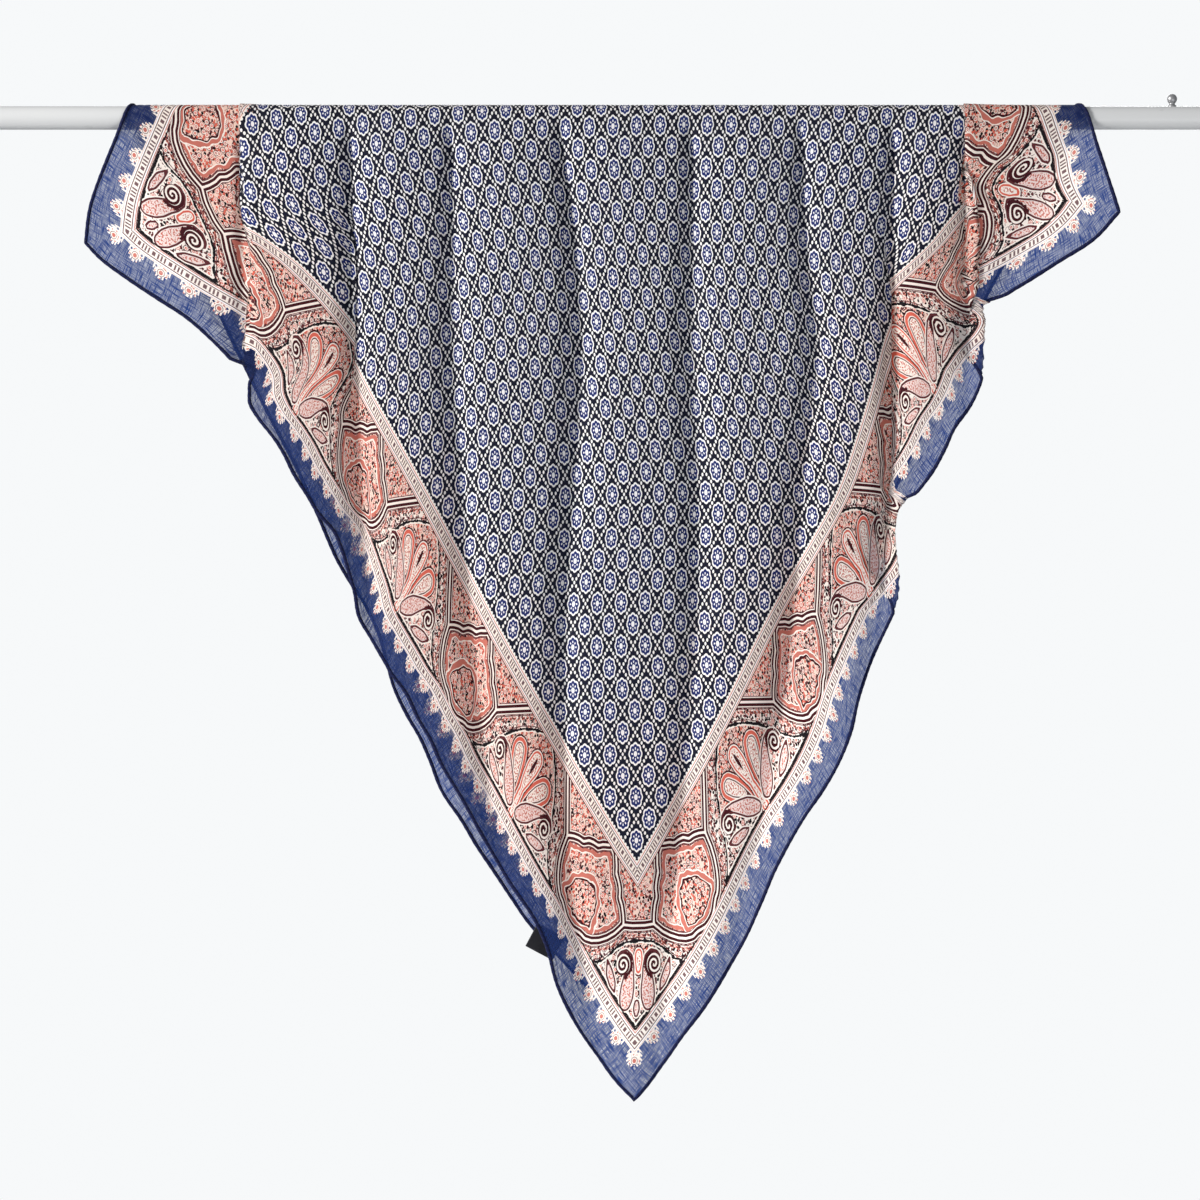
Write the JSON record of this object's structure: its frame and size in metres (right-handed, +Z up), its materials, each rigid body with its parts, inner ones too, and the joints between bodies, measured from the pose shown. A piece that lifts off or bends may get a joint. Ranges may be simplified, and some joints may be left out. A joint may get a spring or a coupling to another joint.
{
  "type": "square summer shawl hung on a straight rail",
  "caption": "Thin printed square shawl with rolled hems, hung cornerwise in soft folds over a straight round rail.",
  "frame": {"origin": "middle of the rail, on its axis, where the rail is held", "axes": "+X along the rail to the viewer's right, +Z up, -Y towards the viewer in front of the shawl"},
  "size_m": [1.32, 0.039, 1.0733],
  "materials": {
    "painted_rail": "satin pale grey paint",
    "stud_steel": "satin",
    "printed_voile": "matt, thin plain weave, printed",
    "rolled_hem": "matt, tightly rolled and stitched",
    "woven_label": "flat woven tape, bare"
  },
  "bodies": {
    "root": {"rail": "painted_rail", "rail_stud": "stud_steel", "cloth_front": "printed_voile", "cloth_back": "printed_voile", "hem_front_left": "rolled_hem", "hem_front_right": "rolled_hem", "hem_back_left": "rolled_hem", "hem_back_right": "rolled_hem", "label": "woven_label"}
  },
  "joints": []
}
